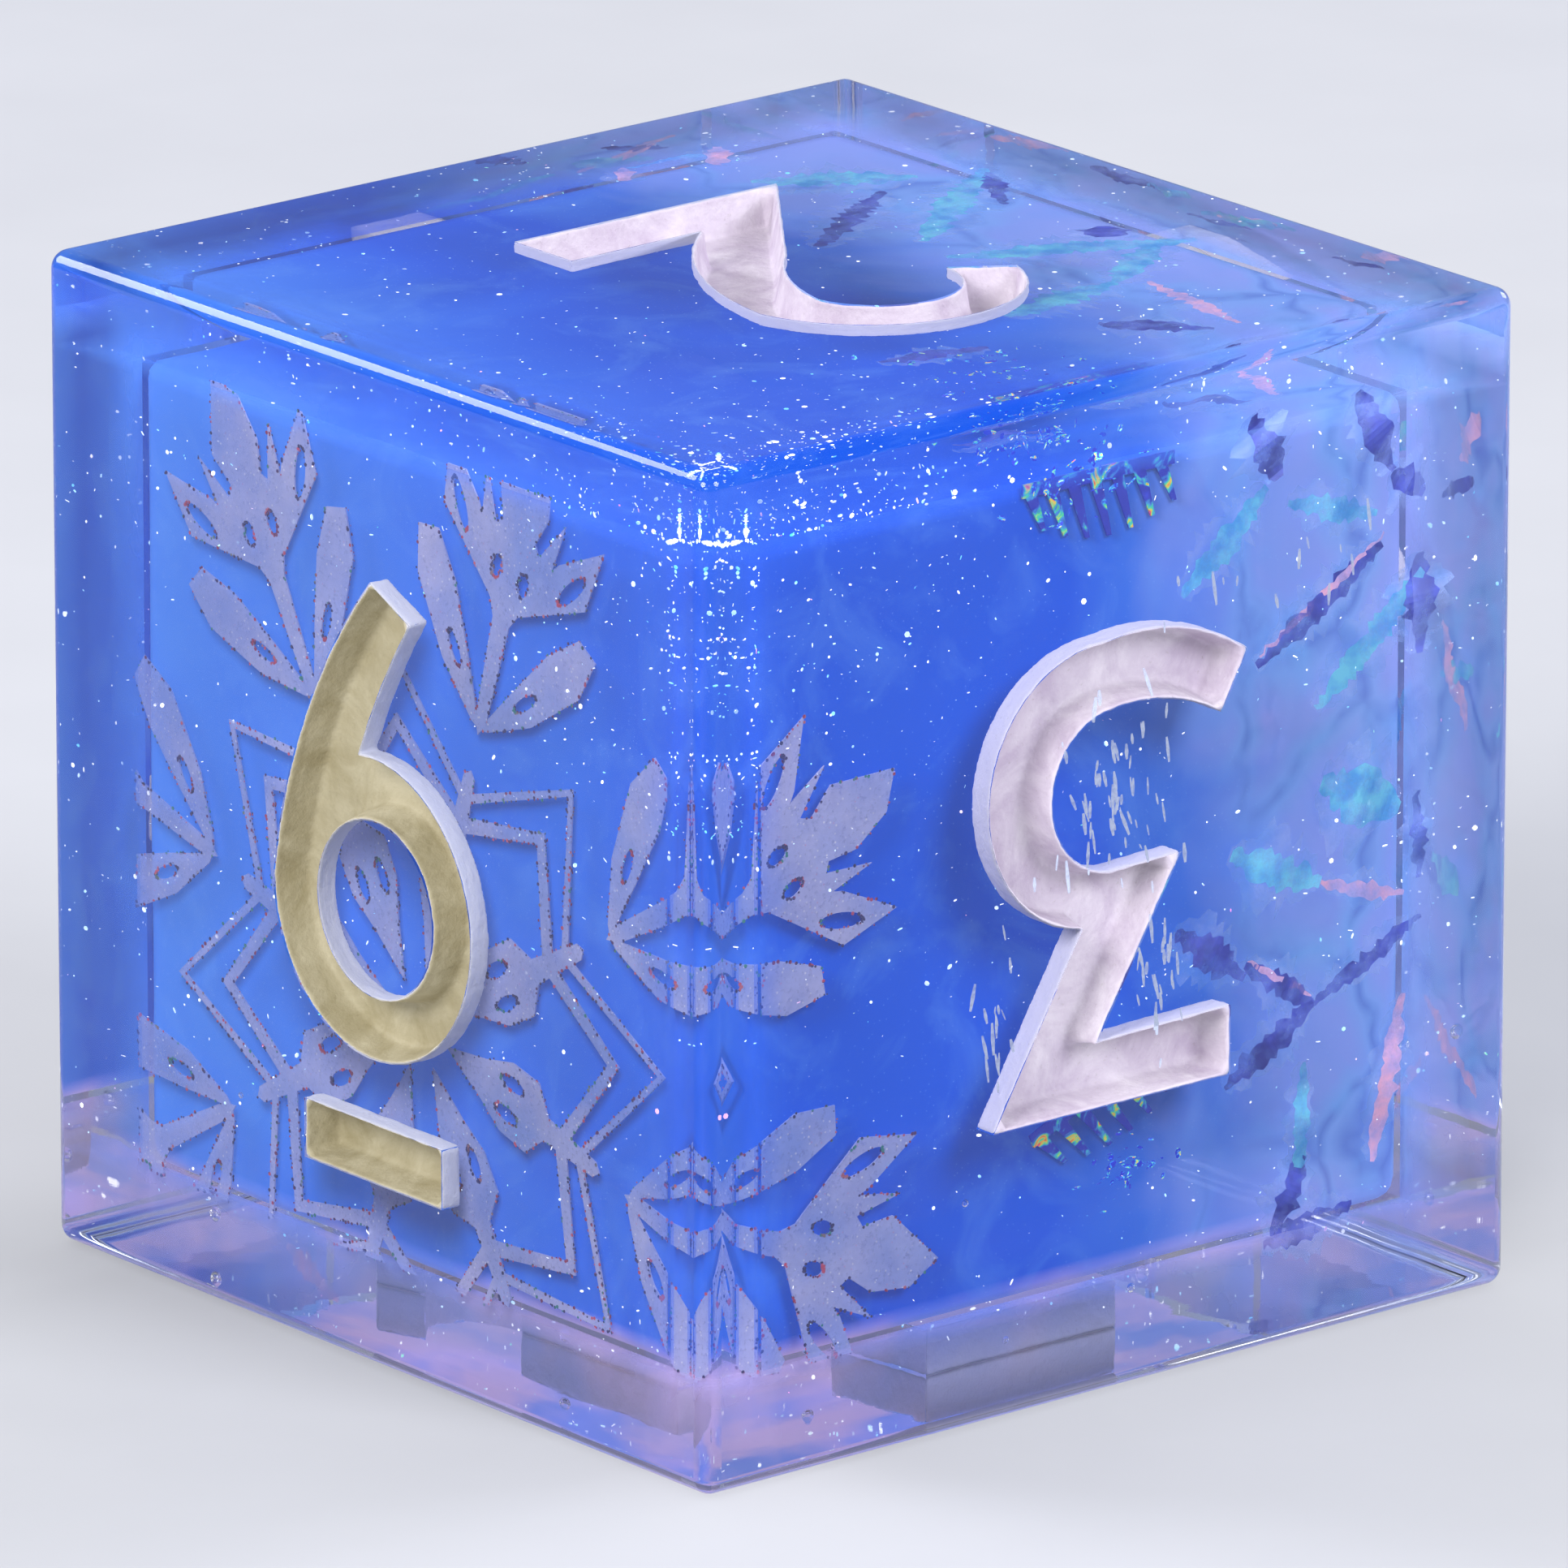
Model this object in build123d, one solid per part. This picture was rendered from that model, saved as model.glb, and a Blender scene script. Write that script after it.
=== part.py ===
"""Six-sided resin die.

A clear casting surrounds a cast blue core. Inside the core lie a printed
snowflake film bent round one upright edge, creased iridescent foil sheets,
two fringed foil shreds and loose glitter. A painted numeral is sunk in each
face, and opposite faces add up to seven.

Millimetres, +Z up, origin at the centre of the bottom face.
"""
import math
import os
import random

from build123d import *

# Castings
DIE = 16.0                # across two opposite faces
DIE_EDGE_RADIUS = 0.3
SHELL = 1.1               # clear resin between a die face and the core
CORE_EDGE_RADIUS = 0.3

# Numerals
NUMERAL_HEIGHT = 7.5      # cap height of the sunk numerals
ENGRAVE_DEPTH = 0.75
PAINT = 0.12              # paint thickness on the walls and floor of a recess
RIM_DROP = 0.04           # the wiped paint stops this far below the die face
BAR_LENGTH = 3.35         # underline of the six
BAR_WIDTH = 0.95
BAR_GAP = 1.025           # between the foot of the six and its underline
SIX_RAISE = 0.65          # the six sits above the face's middle to leave room for the bar

# Snowflake film
FILM = 0.05               # thickness
FILM_DEPTH = 0.15         # resin between a core face and the film
FILM_FACET = 0.5          # width of the panel between the two folds at the upright edge
FILM_MARGIN = 0.35        # the film is trimmed this far from the core's other edges
SNOWFLAKE_RADIUS = 10.4   # centre to the tips of the middle leaves
SNOWFLAKE_RIGHT = 0.4     # pattern centre, from the middle of the -X face
SNOWFLAKE_UP = -2.5
SNOWFLAKE_TURN = 28.5     # degrees
BRANCHES = 8

# Foil sheets
FOIL = 0.06               # thickness
FOIL_SHEETS = 4
FOIL_GAP = 2.1            # from one sheet to the next
FOIL_LENGTH = 12.0        # along the creased direction
FOIL_CREASE = 0.35        # height of a crease
FOIL_CREASES = 7
FOIL_CREASE_SHIFT = 0.2   # how far creases wander, as a share of their spacing
FOIL_LEAN = 38.0          # degrees that the stack leans back from upright
FOIL_INNER_SIDE = 0.9     # nearest that a sheet comes to the die's middle plane
FOIL_MARGIN = 0.7         # resin left between the sheets and the core's faces

# Fringed shreds, just behind the -Y core face
SHRED_LENGTH = 3.0
SHRED_BARB = 1.0
SHRED_SPINE = 0.22
SHRED_BARBS = 7
SHRED_DEPTH = 0.35        # resin between the core face and a shred
UPPER_SHRED_RIGHT = 0.3   # from the middle of the -Y face
UPPER_SHRED_DROP = 0.6    # below the core's top face
LOWER_SHRED_RIGHT = 0.4
LOWER_SHRED_UP = -3.4
LOWER_SHRED_TURN = 24     # degrees

# Glitter
FLAKES = 60
FLAKE_RADIUS = 0.12
FLAKE_THICKNESS = 0.03
FLAKE_SPACING = 0.5
FLAKE_MARGIN = 0.8        # resin left between the flakes and the core's faces
FLAKE_SEED = 7

CORE = DIE - 2 * SHELL
MIDDLE = Vector(0, 0, DIE / 2)

# Each face: outward normal, and the direction that is rightwards to someone looking at it.
LEFT_FACE = ((-1, 0, 0), (0, -1, 0))
FRONT_FACE = ((0, -1, 0), (1, 0, 0))
RIGHT_FACE = ((1, 0, 0), (0, 1, 0))
BACK_FACE = ((0, 1, 0), (-1, 0, 0))
TOP_FACE = ((0, 0, 1), (1, 0, 0))
BOTTOM_FACE = ((0, 0, -1), (1, 0, 0))


def face_plane(face, distance):
    """A plane that faces outward, a distance from the die's middle."""
    outward, rightward = face
    origin = MIDDLE + Vector(*outward) * distance
    return Plane(origin=origin, x_dir=rightward, z_dir=outward)


def outline(*edges):
    """A face from edges that follow each other round."""
    return make_face(Curve() + list(edges))


def polygon(*points):
    """A straight-sided face that faces +Z, whichever way round its points run."""
    following = points[1:] + points[:1]
    turn = sum(a[0] * b[1] - b[0] * a[1] for a, b in zip(points, following))
    ordered = points if turn > 0 else points[::-1]
    return Polygon(*ordered, align=None)


def rounded_block(side, radius):
    block = Pos(MIDDLE.X, MIDDLE.Y, MIDDLE.Z) * Box(side, side, side)
    return fillet(block.edges(), radius)


# ---------------------------------------------------------------- numerals
# The outlines are drawn upright, 7.5 high, about the middle of the numeral.

GLYPH_HEIGHT = 7.5
SIX_FOOT = 3.7            # from the drawn six's middle to the bottom of its bowl


def one():
    return polygon((0.55, 3.75), (-0.3, 3.75), (-1.95, 2.55), (-1.5, 1.75),
                   (-0.5, 2.4), (-0.5, -3.75), (0.55, -3.75))


def two():
    return outline(
        Line((2.2, -3.7), (-3.0, -3.7)),
        Line((-3.0, -3.7), (-0.55, -0.5)),
        ThreePointArc((-0.55, -0.5), (0.3, 0.65), (0.65, 1.75)),
        ThreePointArc((0.65, 1.75), (-0.55, 2.85), (-2.0, 1.6)),
        Line((-2.0, 1.6), (-2.9, 2.2)),
        ThreePointArc((-2.9, 2.2), (-0.5, 3.85), (1.85, 1.8)),
        ThreePointArc((1.85, 1.8), (1.2, -0.4), (-0.4, -2.35)),
        Line((-0.4, -2.35), (2.2, -2.3)),
        Line((2.2, -2.3), (2.2, -3.7)))


def three():
    return outline(
        Line((-2.3, 3.4), (2.4, 3.4)),
        Line((2.4, 3.4), (0.65, 0.5)),
        ThreePointArc((0.65, 0.5), (2.5, -1.6), (0.2, -3.95)),
        ThreePointArc((0.2, -3.95), (-1.35, -3.88), (-2.6, -3.3)),
        Line((-2.6, -3.3), (-2.1, -2.4)),
        ThreePointArc((-2.1, -2.4), (-0.9, -2.85), (0.2, -2.85)),
        ThreePointArc((0.2, -2.85), (1.25, -1.6), (0.1, -0.3)),
        Line((0.1, -0.3), (-1.3, -0.35)),
        Line((-1.3, -0.35), (0.35, 2.35)),
        Line((0.35, 2.35), (-2.3, 2.3)),
        Line((-2.3, 2.3), (-2.3, 3.4)))


def four():
    stroke = polygon((1.4, 3.75), (0.1, 3.75), (-2.6, -1.2), (-2.6, -2.2), (0.35, -2.2),
                     (0.35, -3.75), (1.4, -3.75), (1.4, -2.2), (2.5, -2.2), (2.5, -1.15),
                     (1.4, -1.15))
    counter = polygon((0.35, -1.15), (-1.45, -1.15), (0.35, 2.15))
    return stroke - counter


def five():
    return outline(
        Line((2.0, 3.7), (-1.75, 3.7)),
        Line((-1.75, 3.7), (-2.0, 0.1)),
        Line((-2.0, 0.1), (-1.1, -0.35)),
        ThreePointArc((-1.1, -0.35), (1.2, -1.35), (-0.4, -2.7)),
        ThreePointArc((-0.4, -2.7), (-1.3, -2.6), (-2.1, -2.2)),
        Line((-2.1, -2.2), (-2.55, -3.1)),
        ThreePointArc((-2.55, -3.1), (-1.4, -3.65), (-0.1, -3.75)),
        ThreePointArc((-0.1, -3.75), (2.35, -1.2), (-0.1, 0.95)),
        Line((-0.1, 0.95), (-0.85, 0.85)),
        Line((-0.85, 0.85), (-0.7, 2.65)),
        Line((-0.7, 2.65), (2.0, 2.65)),
        Line((2.0, 2.65), (2.0, 3.7)))


def six():
    stroke = outline(
        ThreePointArc((-2.4, -1.3), (-1.6, 1.4), (0.0, 3.85)),
        Line((0.0, 3.85), (0.95, 3.4)),
        ThreePointArc((0.95, 3.4), (0.25, 2.25), (-0.3, 1.08)),
        ThreePointArc((-0.3, 1.08), (2.4, -1.3), (-2.4, -1.3)))
    counter = Pos(0.08, -1.3) * Circle(1.4)
    return stroke - counter


def numeral(glyph, plane, turn=0.0, up=0.0):
    """The recess for a numeral, and the tray of paint that lines it."""
    drawing = scale(glyph, by=NUMERAL_HEIGHT / GLYPH_HEIGHT)
    return sunk(Rot(0, 0, turn) * Pos(0, up) * drawing, plane)


def sunk(drawing, plane):
    recess = extrude(plane * drawing, amount=-ENGRAVE_DEPTH)
    rim = plane.offset(-RIM_DROP)
    painted = extrude(rim * drawing, amount=-(ENGRAVE_DEPTH - RIM_DROP))
    open_part = offset(drawing, amount=-PAINT, kind=Kind.ARC)
    hollow = extrude(rim * open_part, amount=-(ENGRAVE_DEPTH - RIM_DROP - PAINT))
    return recess, painted - hollow


# --------------------------------------------------------- snowflake film
# One branch is drawn along +X from the pattern's centre, on a radius of 10.4.

PATTERN_RADIUS = 10.4


def mirrored(*points):
    """A polygon above the branch's axis, and its reflection below it."""
    below = [(x, -y) for x, y in points]
    return [polygon(*points), polygon(*below)]


def bud():
    """The inner half of a branch, from near the pattern's centre to its rounded cap."""
    solid = polygon((0.7, 0.0), (1.6, 0.32), (2.2, 0.6), (2.85, 0.62), (3.2, 0.2),
                    (4.4, 0.13), (4.52, 0.0), (4.4, -0.13), (3.2, -0.2), (2.85, -0.62),
                    (2.2, -0.6), (1.6, -0.32))
    return solid - both_sides((2.3, 0.27), 0.28, 0.12, 0)


def spray():
    """The outer half of a branch: a stalk with two paddles, three leaves and two spikes."""
    stalk = polygon((5.15, 0.0), (5.4, 0.13), (7.2, 0.2), (7.2, -0.2), (5.4, -0.13))
    hub = polygon((7.1, 0.18), (8.3, 0.8), (8.75, 0.4), (9.3, 0.62), (10.4, 0.05),
                  (9.95, -0.45), (9.2, -0.58), (8.7, -0.4), (8.3, -0.8), (7.1, -0.18))
    leaf = [(7.25, 0.1), (8.3, 1.75), (9.4, 1.9), (8.7, 1.0), (8.1, 0.55)]
    spike = [(8.0, 0.5), (8.35, 0.85), (9.35, 0.97), (8.5, 0.5)]
    paddle = [(5.25, 0.0), (6.3, 0.6), (7.2, 1.15), (7.8, 1.75), (7.65, 2.2),
              (6.9, 2.0), (5.9, 1.1), (5.3, 0.2)]
    solid = stalk + hub
    for shape in (leaf, spike, paddle):
        for side in mirrored(*shape):
            solid += side
    solid -= both_sides((8.45, 1.38), 0.42, 0.13, 35)
    solid -= both_sides((6.2, 0.88), 0.3, 0.1, 42)
    return solid - both_sides((7.95, 0.32), 0.2, 0.12, 0)


def both_sides(middle, long_half, short_half, lean):
    """A pair of oval slots, one each side of the branch's axis."""
    x, y = middle
    oval = Ellipse(long_half, short_half)
    return [Pos(x, side * y) * Rot(0, 0, side * lean) * oval for side in (1, -1)]


def star(valley, peak):
    """A star with a valley on each branch and a peak half way to the next."""
    points = []
    for number in range(2 * BRANCHES):
        radius = peak if number % 2 else valley
        angle = math.pi * number / BRANCHES
        points.append((radius * math.cos(angle), radius * math.sin(angle)))
    return polygon(*points)


def snowflake():
    """Separate printed shapes: the middle with its two star lines, and eight sprays."""
    middle = star(3.7, 4.85) - star(3.42, 4.57)
    middle += star(4.1, 5.95) - star(3.92, 5.77)
    turns = [Rot(0, 0, number * 360 / BRANCHES) for number in range(BRANCHES)]
    for turn in turns:
        middle += turn * bud()
    pattern = [middle] + [turn * spray() for turn in turns]
    return [scale(shape, by=SNOWFLAKE_RADIUS / PATTERN_RADIUS) for shape in pattern]


def snowflake_film():
    """The printed film, folded twice to pass round the core's -X, -Y edge."""
    place = Pos(SNOWFLAKE_RIGHT, SNOWFLAKE_UP) * Rot(0, 0, SNOWFLAKE_TURN)
    pattern = [place * shape for shape in snowflake()]
    reach = CORE / 2 - FILM_DEPTH                       # outer side of the film
    fold = reach - FILM_FACET / math.sqrt(2)            # where the flat sides end
    trim = CORE / 2 - FILM_MARGIN
    crease = FILM                                       # clears the thickness at a fold
    facet_middle = MIDDLE - Vector(reach + fold, reach + fold, 0) / 2
    facet_plane = Plane(origin=facet_middle, x_dir=(1, -1, 0), z_dir=(-1, -1, 0))
    after = fold + FILM_FACET
    # Each panel: its plane, where it begins and ends across the pattern, and how far
    # the pattern slides to put the panel in its place.
    panels = [(face_plane(LEFT_FACE, reach), -trim, fold - crease, 0),
              (facet_plane, fold + crease, after - crease, -fold - FILM_FACET / 2),
              (face_plane(FRONT_FACE, reach), after + crease, after + fold + trim,
               -after - fold)]
    film = []
    for plane, low, high, slide in panels:
        window = Pos((low + high) / 2, 0) * Rectangle(high - low, 2 * trim)
        for shape in pattern:
            cut = shape & window
            faces = cut.faces() if cut else []
            film += [extrude(plane * Pos(slide, 0) * face, amount=-FILM) for face in faces]
    return film


# ------------------------------------------------------------------ foils

def foil_sheet(number):
    """A creased sheet, thin across the stack and trimmed to the right half of the core."""
    step = FOIL_LENGTH / FOIL_CREASES
    shift = FOIL_CREASE_SHIFT * step * (number % 3)
    points = []
    for crease in range(FOIL_CREASES + 1):
        along = -FOIL_LENGTH / 2 + crease * step
        if 0 < crease < FOIL_CREASES:
            along += shift * (-1) ** crease
        points.append((along, FOIL_CREASE * (-1) ** (crease + number)))
    back = [(along, height + FOIL) for along, height in reversed(points)]
    profile = Plane.YZ * polygon(*points, *back)
    sheet = extrude(profile, amount=CORE / 2, both=True)
    place = (number - (FOIL_SHEETS - 1) / 2) * FOIL_GAP
    stack = Location(MIDDLE) * Rot(FOIL_LEAN, 0, 0) * Pos(0, 0, place)
    outer = CORE / 2 - FOIL_MARGIN
    room = Pos((FOIL_INNER_SIDE + outer) / 2, 0, MIDDLE.Z)
    room *= Box(outer - FOIL_INNER_SIDE, 2 * outer, 2 * outer)
    return (stack * sheet) & room


def fringed_shred(right, up, turn):
    """A torn strip of foil with barbs along one side, like half a feather."""
    shape = Sketch() + Rectangle(SHRED_LENGTH, SHRED_SPINE)
    pitch = SHRED_LENGTH / SHRED_BARBS
    for number in range(SHRED_BARBS):
        root = -SHRED_LENGTH / 2 + number * pitch
        reach = SHRED_BARB * (0.6 + 0.4 * math.sin(math.pi * (number + 0.5) / SHRED_BARBS))
        shape += polygon((root, 0), (root + 0.6 * pitch, 0),
                         (root + 1.1 * pitch, -reach), (root + 0.9 * pitch, -reach))
    plane = face_plane(FRONT_FACE, CORE / 2 - SHRED_DEPTH)
    return extrude(plane * (Pos(right, up) * Rot(0, 0, turn) * shape), amount=-FOIL)


def glitter():
    """Loose hexagonal flakes, each turned its own way, in the half without foil."""
    draw = random.Random(FLAKE_SEED)
    reach = CORE / 2 - FLAKE_MARGIN
    flakes = []
    places = []
    while len(flakes) < FLAKES:
        place = Vector(draw.uniform(-reach, 0), draw.uniform(-reach, reach),
                       draw.uniform(-reach, reach))
        turn = Rot(draw.uniform(0, 180), draw.uniform(0, 180), 0)
        if any((place - other).length < FLAKE_SPACING for other in places):
            continue
        places.append(place)
        flake = extrude(RegularPolygon(FLAKE_RADIUS, 6), amount=FLAKE_THICKNESS)
        flakes.append(Location(MIDDLE + place) * turn * flake)
    return flakes


# --------------------------------------------------------------- assembly

def numerals():
    """Recesses and paint trays by node name."""
    surface = DIE / 2
    left = face_plane(LEFT_FACE, surface)
    six_foot = SIX_RAISE - SIX_FOOT * NUMERAL_HEIGHT / GLYPH_HEIGHT
    bar = Pos(0, six_foot - BAR_GAP - BAR_WIDTH / 2) * Rectangle(BAR_LENGTH, BAR_WIDTH)
    return {
        "numeral_paint_1": numeral(one(), face_plane(RIGHT_FACE, surface)),
        "numeral_paint_2": numeral(two(), face_plane(TOP_FACE, surface), turn=180),
        "numeral_paint_3": numeral(three(), face_plane(FRONT_FACE, surface), turn=180),
        "numeral_paint_4": numeral(four(), face_plane(BACK_FACE, surface)),
        "numeral_paint_5": numeral(five(), face_plane(BOTTOM_FACE, surface)),
        "numeral_paint_6": numeral(six(), left, up=SIX_RAISE),
        "underline_paint_6": sunk(bar, left),
    }


def build():
    nodes = {}
    casting = rounded_block(DIE, DIE_EDGE_RADIUS)
    envelope = rounded_block(CORE, CORE_EDGE_RADIUS)
    casting -= envelope
    for name, (recess, paint) in numerals().items():
        casting -= recess
        nodes[name] = paint

    nodes["snowflake_film"] = snowflake_film()
    for number in range(FOIL_SHEETS):
        nodes[f"foil_sheet_{number + 1}"] = foil_sheet(number)
    nodes["fringed_shred_upper"] = fringed_shred(UPPER_SHRED_RIGHT, CORE / 2 - UPPER_SHRED_DROP, 0)
    nodes["fringed_shred_lower"] = fringed_shred(LOWER_SHRED_RIGHT, LOWER_SHRED_UP,
                                                 LOWER_SHRED_TURN)
    nodes["glitter"] = glitter()

    core = envelope
    for name, inclusion in nodes.items():
        if "paint" not in name:
            core -= inclusion
    nodes["clear_casting"] = casting
    nodes["blue_core"] = core
    return nodes


def as_one(shape):
    """One exportable shape: a solid, or a group of the separate solids."""
    parts = shape if isinstance(shape, list) else [shape]
    solids = [solid for part in parts for solid in part.solids()]
    return solids[0] if len(solids) == 1 else Compound(children=solids)


os.makedirs("parts", exist_ok=True)
for name, shape in build().items():
    piece = as_one(shape)
    piece.label = name
    export_step(piece, f"parts/{name}.step")
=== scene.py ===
"""Looks of the six-sided resin die: resin, paint, film, foil and glitter."""

import math
import random

import bmesh
import bpy
import numpy as np
from mathutils import Matrix, Vector, noise
from mathutils.bvhtree import BVHTree


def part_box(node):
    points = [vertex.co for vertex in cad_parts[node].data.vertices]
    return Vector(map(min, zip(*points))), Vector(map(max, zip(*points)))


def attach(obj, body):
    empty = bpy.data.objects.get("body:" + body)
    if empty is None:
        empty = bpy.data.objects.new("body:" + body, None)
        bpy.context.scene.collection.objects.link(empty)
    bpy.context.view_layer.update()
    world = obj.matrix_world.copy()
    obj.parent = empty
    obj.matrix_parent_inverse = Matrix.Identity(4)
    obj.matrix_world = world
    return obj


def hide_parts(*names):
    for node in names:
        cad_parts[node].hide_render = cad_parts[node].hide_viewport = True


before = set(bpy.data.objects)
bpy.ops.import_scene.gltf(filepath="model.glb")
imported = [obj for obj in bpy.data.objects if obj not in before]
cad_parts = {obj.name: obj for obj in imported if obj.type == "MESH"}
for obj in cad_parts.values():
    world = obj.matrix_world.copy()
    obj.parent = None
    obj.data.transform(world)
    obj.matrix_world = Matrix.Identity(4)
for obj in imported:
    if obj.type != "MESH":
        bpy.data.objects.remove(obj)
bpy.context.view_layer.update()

MM = 0.001
die_low, die_high = (Vector(corner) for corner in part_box("clear_casting"))
core_low, core_high = (Vector(corner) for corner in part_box("blue_core"))
MIDDLE = (die_low + die_high) / 2
DIE = die_high.x - die_low.x
CORE = core_high.x - core_low.x

# Resin
CLEAR_SKIN = 0.43 * MM       # the core's outermost resin is clear: the film and shreds lie in it
HALO_CLEAR = 0.12 * MM       # the milky veils stop this far under the die's faces
FLAT = 0.9999                # a facet whose normal is this near an axis is on a flat face
BODY_BEVEL = 0.35 * MM
BODY_CUTS = 22               # across each face of the blue body
BODY_WAVE = 2.6 * MM         # from one unevenness of its faces to the next
BODY_SWAY = 0.02             # mm that its faces wander
BUBBLES = 14
BUBBLE_SPREAD = 0.42         # farthest from the middle of a face, as a share of the die

# Paint
PAINT_VOXEL = 0.042 * MM
PAINT_THIN_DEPTH = 0.6 * MM  # nearer than this to the die's face, the paint thins towards the rim
PAINT_LEFT = 0.2             # share of its thickness that is left at the rim
PAINT_LUMP = 0.32 * MM       # size of its lumps
SMEAR_DEPTH = 0.02 * MM      # under the die's face

# Film
CUT_ANGLE = 1.2              # radians; facets that meet more sharply than this are at a cut edge
CUT_FACING = 0.9             # how squarely the outer facet has to look out of its side
EDGE_FLECK_STEP = 0.075 * MM
EDGE_FLECK_GAPS = 0.42       # share of the steps without a fleck

# Foil
FOIL_LEAN = 38               # degrees that the foil sheets lean back
FOIL_CLEAR = 0.5 * MM        # the foils stay this far inside the core's faces
FOIL_THICKNESS = 0.012 * MM
FOIL_COLUMNS, FOIL_ROWS = 48, 72
WIDE_RIDGES = 2.2 * MM
FINE_RIDGES = 0.9 * MM
RIDGE_HEIGHT = 1.1           # mm
CREASE_DEPTH = 0.1           # mm under the core's face
CREASE_STEP = 0.09           # mm
CREASE_START = 6.3           # mm from the middle of its face that a random crease may start
CREASE_REACH = 6.6           # mm from the middle that a random crease may end
RANDOM_CREASES = 7           # of each colour, on the right and on the back
SHEEN_WIDTH = 2.2            # a crease's painted sheen, as a multiple of its width
SHEEN_SINK = 0.09            # mm that the painted sheen lies under the crease
SPARKLE_REACH = 6.85         # mm from the middle, just inside the core's faces

# Glitter
FLAKE_TALL = 0.25            # a flake's thickness, as a share of its radius
GLITTER_ABOVE = 0.15 * MM    # outside the core's faces
GLITTER_BELOW = 0.1 * MM     # outside the blue body's faces
GLITTER_SIZE = 0.011         # mm, both the least radius and the mean of what is added to it
GLITTER_LARGEST = 0.05 * MM
NEAR_CORNER = (-0.8, -0.95, 0.8)     # as shares of the way to the faces
CORNER_SHARE = 0.22          # share of the glitter that gathers at the near corner
CORNER_SPREAD = 0.34

# Stage
FLOOR_CLEAR = 0.04 * MM      # air under the die, so that its underside reflects inside
FLOOR_HALF = 1.2             # metres
LAMP_AWAY = 0.30             # metres
LAMP_WIDTH = 0.14            # metres
VIEW_AZIMUTH, VIEW_ELEVATION = -39.5, 17.3
VIEW_DISTANCE = 318          # mm
AIM_RIGHT, AIM_DOWN = 0.08, 0.24     # mm from the die's middle
LENS = 475

# Seeds of the random draws
BODY_SEED = 1
GLITTER_SEED = 11
EDGE_FLECK_SEED = 3
SMEAR_SEED = 21
CREASE_SEED = 17
SPARKLE_SEED = 29
BUBBLE_SEED = 5


# ------------------------------------------------------------- mesh helpers

def finished(name, bm, material, smooth_angle=None, lets_light_by=False):
    """An object on the root body from a bmesh. One that lets light by casts no shadow."""
    mesh = bpy.data.meshes.new(name)
    bm.to_mesh(mesh)
    bm.free()
    piece = bpy.data.objects.new(name, mesh)
    bpy.context.scene.collection.objects.link(piece)
    mesh.materials.append(material)
    piece.visible_shadow = not lets_light_by
    if smooth_angle is not None:
        mesh.polygons.foreach_set("use_smooth", [True] * len(mesh.polygons))
        mesh.set_sharp_from_angle(angle=math.radians(smooth_angle))
    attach(piece, "root")
    return piece


def direction(azimuth, elevation):
    """From the die towards these degrees; azimuth 0 is -Y and 90 is +X."""
    a, e = math.radians(azimuth), math.radians(elevation)
    return Vector((math.sin(a) * math.cos(e), -math.cos(a) * math.cos(e), math.sin(e)))


def cad_mesh(node):
    """A merged copy of a CAD node's mesh."""
    bm = bmesh.new()
    bm.from_mesh(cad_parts[node].data)
    bmesh.ops.remove_doubles(bm, verts=bm.verts, dist=0.001 * MM)
    return bm


def applied(piece, kind, **settings):
    """Adds a modifier and applies it."""
    modifier = piece.modifiers.new(kind.lower(), kind)
    for key, value in settings.items():
        setattr(modifier, key, value)
    with bpy.context.temp_override(object=piece, active_object=piece):
        bpy.ops.object.modifier_apply(modifier=modifier.name)


def flake(bm, where, size, turn):
    """One thin hexagonal flake of this radius."""
    ring = []
    for level in (-1, 1):
        for corner in range(6):
            angle = corner * math.pi / 3
            point = Vector((math.cos(angle), math.sin(angle), 0)) * size
            point.z = level * size * FLAKE_TALL / 2
            ring.append(bm.verts.new(turn @ point + where))
    bm.faces.new(ring[5::-1])
    bm.faces.new(ring[6:])
    for corner in range(6):
        after = (corner + 1) % 6
        bm.faces.new((ring[corner], ring[after], ring[6 + after], ring[6 + corner]))


def random_turn(draw):
    """A rotation about an axis that points anywhere."""
    axis = Vector((draw.gauss(0, 1), draw.gauss(0, 1), draw.gauss(0, 1))).normalized()
    return Matrix.Rotation(draw.uniform(0, math.pi), 3, axis)


# --------------------------------------------------------- material helpers

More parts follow.
